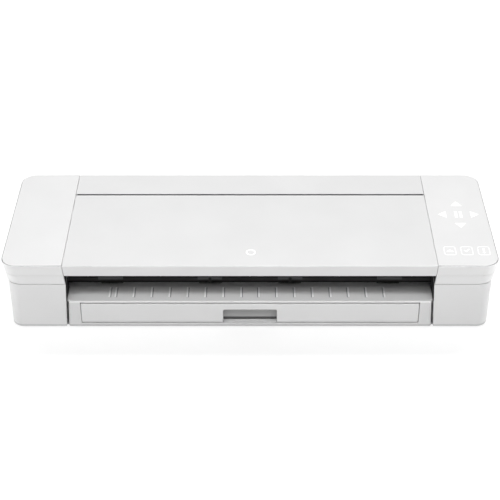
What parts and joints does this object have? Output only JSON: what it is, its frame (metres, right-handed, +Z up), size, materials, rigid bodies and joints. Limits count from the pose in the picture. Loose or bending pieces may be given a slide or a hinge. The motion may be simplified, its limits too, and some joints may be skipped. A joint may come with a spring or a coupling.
{
  "type": "desktop vinyl cutter",
  "caption": "White desktop vinyl cutter with a hinged lid, touch panel, pinch-roller feed, twin-tool carriage on a belt, and a pull-out roll drawer.",
  "frame": {"origin": "on the table under the middle of the casing", "axes": "+X right along the media width, +Y towards the rear slot, +Z up through the deck"},
  "size_m": [0.57, 0.195, 0.1],
  "materials": {
    "white_plastic": "fine satin",
    "grey_plastic": "satin",
    "arm_plastic": "satin",
    "dark_plastic": "satin",
    "black_plastic": "satin",
    "platen_plastic": "fine satin",
    "gear_plastic": "smooth",
    "icon_white": "gloss",
    "circuit_board": "solder mask",
    "rubber": "matte",
    "steel": "zinc plated",
    "grit_metal": "knurled",
    "motor_metal": "black lamination with bright caps",
    "aluminium": "anodised",
    "brass": "turned"
  },
  "bodies": {
    "root": {"base_tray": "grey_plastic", "rubber_feet": "rubber", "left_lower_cover": "white_plastic", "right_lower_cover": "white_plastic", "left_cap_skirt": "white_plastic", "right_cap_skirt": "white_plastic", "left_top_cap": "white_plastic", "right_top_cap": "white_plastic", "rear_top_cover": "white_plastic", "rear_cover": "white_plastic", "front_bezel": "white_plastic", "platen": "platen_plastic", "cutting_strip": "black_plastic", "left_side_plate": "steel", "right_side_plate": "steel", "bearing_bracket": "steel", "shaft_bushes": "brass", "carriage_rail": "aluminium", "roller_beam": "dark_plastic", "pinch_pivot_rod": "steel", "feed_motor": "motor_metal", "carriage_motor": "motor_metal", "idler_bracket": "steel", "drive_belt": "rubber", "main_board": "circuit_board", "touch_panel_board": "circuit_board", "touch_icons": "icon_white", "usb_socket": "steel", "power_inlet": "black_plastic", "cross_cutter_rail": "aluminium", "drawer_runners": "grey_plastic", "lid_hinge_pins": "steel"},
    "lid": {"lid": "white_plastic"},
    "carriage": {"carriage_body": "dark_plastic", "tool_guide_rods": "steel"},
    "tool_1": {"tool_1_holder": "dark_plastic", "blade_housing": "grey_plastic"},
    "tool_2": {"tool_2_holder": "dark_plastic"},
    "tool_1_clamp": {"tool_1_lever": "grey_plastic"},
    "tool_2_clamp": {"tool_2_lever": "grey_plastic"},
    "grit_drive": {"grit_shaft": "steel", "grit_sleeves": "grit_metal", "feed_gear": "gear_plastic"},
    "feed_pinion": {"motor_pinion": "brass"},
    "motor_pulley": {"motor_pulley": "aluminium"},
    "idler_pulley": {"idler_pulley": "aluminium"},
    "drawer": {"drawer": "white_plastic"},
    "front_cradle": {"front_cradle_roller": "grey_plastic"},
    "rear_cradle": {"rear_cradle_roller": "grey_plastic"},
    "roll_guide": {"roll_guide": "grey_plastic"},
    "cross_cutter": {"cross_cutter": "grey_plastic"},
    "power_button": {"power_button": "grey_plastic"},
    "arm_1": {"pinch_arm_1": "arm_plastic"},
    "pinch_1": {"pinch_roller_1": "rubber"},
    "arm_2": {"pinch_arm_2": "arm_plastic"},
    "pinch_2": {"pinch_roller_2": "rubber"},
    "arm_3": {"pinch_arm_3": "arm_plastic"},
    "pinch_3": {"pinch_roller_3": "rubber"},
    "arm_4": {"pinch_arm_4": "arm_plastic"},
    "pinch_4": {"pinch_roller_4": "rubber"}
  },
  "joints": [
    {"name": "lid_hinge", "type": "hinge", "parent": "root", "child": "lid", "pos_m": [0, 0.046, 0.0948], "axis": [-1, 0, 0], "range_deg": [0, 78]},
    {"name": "carriage_slide", "type": "slide", "parent": "root", "child": "carriage", "axis": [1, 0, 0], "range_m": [-0.43, 0]},
    {"name": "grit_spin", "type": "hinge", "parent": "root", "child": "grit_drive", "pos_m": [0, -0.045, 0.033], "axis": [1, 0, 0], "continuous": true},
    {"name": "pinion_spin", "type": "hinge", "parent": "root", "child": "feed_pinion", "pos_m": [-0.229, -0.033, 0.05378], "axis": [1, 0, 0], "continuous": true},
    {"name": "motor_pulley_spin", "type": "hinge", "parent": "root", "child": "motor_pulley", "pos_m": [-0.25, 0.02775, 0.066], "axis": [0, 0, 1], "range_deg": [-4170, 10]},
    {"name": "idler_pulley_spin", "type": "hinge", "parent": "root", "child": "idler_pulley", "pos_m": [0.266, 0.02775, 0.066], "axis": [0, 0, 1], "range_deg": [-4170, 10]},
    {"name": "drawer_slide", "type": "slide", "parent": "root", "child": "drawer", "axis": [0, -1, 0], "range_m": [0, 0.1]},
    {"name": "front_cradle_spin", "type": "hinge", "parent": "drawer", "child": "front_cradle", "pos_m": [0, -0.062, 0.0165], "axis": [1, 0, 0], "continuous": true},
    {"name": "rear_cradle_spin", "type": "hinge", "parent": "drawer", "child": "rear_cradle", "pos_m": [0, -0.022, 0.0165], "axis": [1, 0, 0], "continuous": true},
    {"name": "roll_guide_slide", "type": "slide", "parent": "drawer", "child": "roll_guide", "axis": [1, 0, 0], "range_m": [-0.27, 0]},
    {"name": "cross_cutter_slide", "type": "slide", "parent": "root", "child": "cross_cutter", "axis": [1, 0, 0], "range_m": [-0.39, 0]},
    {"name": "power_button_press", "type": "slide", "parent": "root", "child": "power_button", "axis": [-1, 0, 0], "range_m": [0, 0.0012], "stiffness_N_per_m": 400, "springref_m": -0.002},
    {"name": "tool_1_drop", "type": "slide", "parent": "carriage", "child": "tool_1", "axis": [0, 0, -1], "range_m": [0, 0.003], "stiffness_N_per_m": 200, "springref_m": -0.005},
    {"name": "tool_1_lock", "type": "hinge", "parent": "tool_1", "child": "tool_1_clamp", "pos_m": [0.2448, -0.0312, 0.0739], "axis": [0, 0, 1], "range_deg": [0, 70]},
    {"name": "tool_2_drop", "type": "slide", "parent": "carriage", "child": "tool_2", "axis": [0, 0, -1], "range_m": [0, 0.003], "stiffness_N_per_m": 200, "springref_m": -0.005},
    {"name": "tool_2_lock", "type": "hinge", "parent": "tool_2", "child": "tool_2_clamp", "pos_m": [0.2692, -0.0312, 0.0739], "axis": [0, 0, 1], "range_deg": [0, 70]},
    {"name": "arm_1_lift", "type": "hinge", "parent": "root", "child": "arm_1", "pos_m": [-0.165, -0.037, 0.0505], "axis": [-1, 0, 0], "range_deg": [0, 5], "stiffness_Nm_per_rad": 0.2, "springref_deg": -11.46},
    {"name": "pinch_1_spin", "type": "hinge", "parent": "arm_1", "child": "pinch_1", "pos_m": [-0.165, -0.045, 0.0444], "axis": [1, 0, 0], "continuous": true},
    {"name": "arm_2_lift", "type": "hinge", "parent": "root", "child": "arm_2", "pos_m": [-0.0475, -0.037, 0.0505], "axis": [-1, 0, 0], "range_deg": [0, 5], "stiffness_Nm_per_rad": 0.2, "springref_deg": -11.46},
    {"name": "pinch_2_spin", "type": "hinge", "parent": "arm_2", "child": "pinch_2", "pos_m": [-0.0475, -0.045, 0.0444], "axis": [1, 0, 0], "continuous": true},
    {"name": "arm_3_lift", "type": "hinge", "parent": "root", "child": "arm_3", "pos_m": [0.0475, -0.037, 0.0505], "axis": [-1, 0, 0], "range_deg": [0, 5], "stiffness_Nm_per_rad": 0.2, "springref_deg": -11.46},
    {"name": "pinch_3_spin", "type": "hinge", "parent": "arm_3", "child": "pinch_3", "pos_m": [0.0475, -0.045, 0.0444], "axis": [1, 0, 0], "continuous": true},
    {"name": "arm_4_lift", "type": "hinge", "parent": "root", "child": "arm_4", "pos_m": [0.165, -0.037, 0.0505], "axis": [-1, 0, 0], "range_deg": [0, 5], "stiffness_Nm_per_rad": 0.2, "springref_deg": -11.46},
    {"name": "pinch_4_spin", "type": "hinge", "parent": "arm_4", "child": "pinch_4", "pos_m": [0.165, -0.045, 0.0444], "axis": [1, 0, 0], "continuous": true}
  ],
  "couplings": [
    {"joint": "pinion_spin", "follows": "grit_spin", "ratio": -3},
    {"joint": "motor_pulley_spin", "follows": "carriage_slide", "rad_per_m": 168.07},
    {"joint": "idler_pulley_spin", "follows": "carriage_slide", "rad_per_m": 168.07},
    {"joint": "pinch_1_spin", "follows": "grit_spin", "ratio": -1.2},
    {"joint": "pinch_2_spin", "follows": "grit_spin", "ratio": -1.2},
    {"joint": "pinch_3_spin", "follows": "grit_spin", "ratio": -1.2},
    {"joint": "pinch_4_spin", "follows": "grit_spin", "ratio": -1.2}
  ]
}
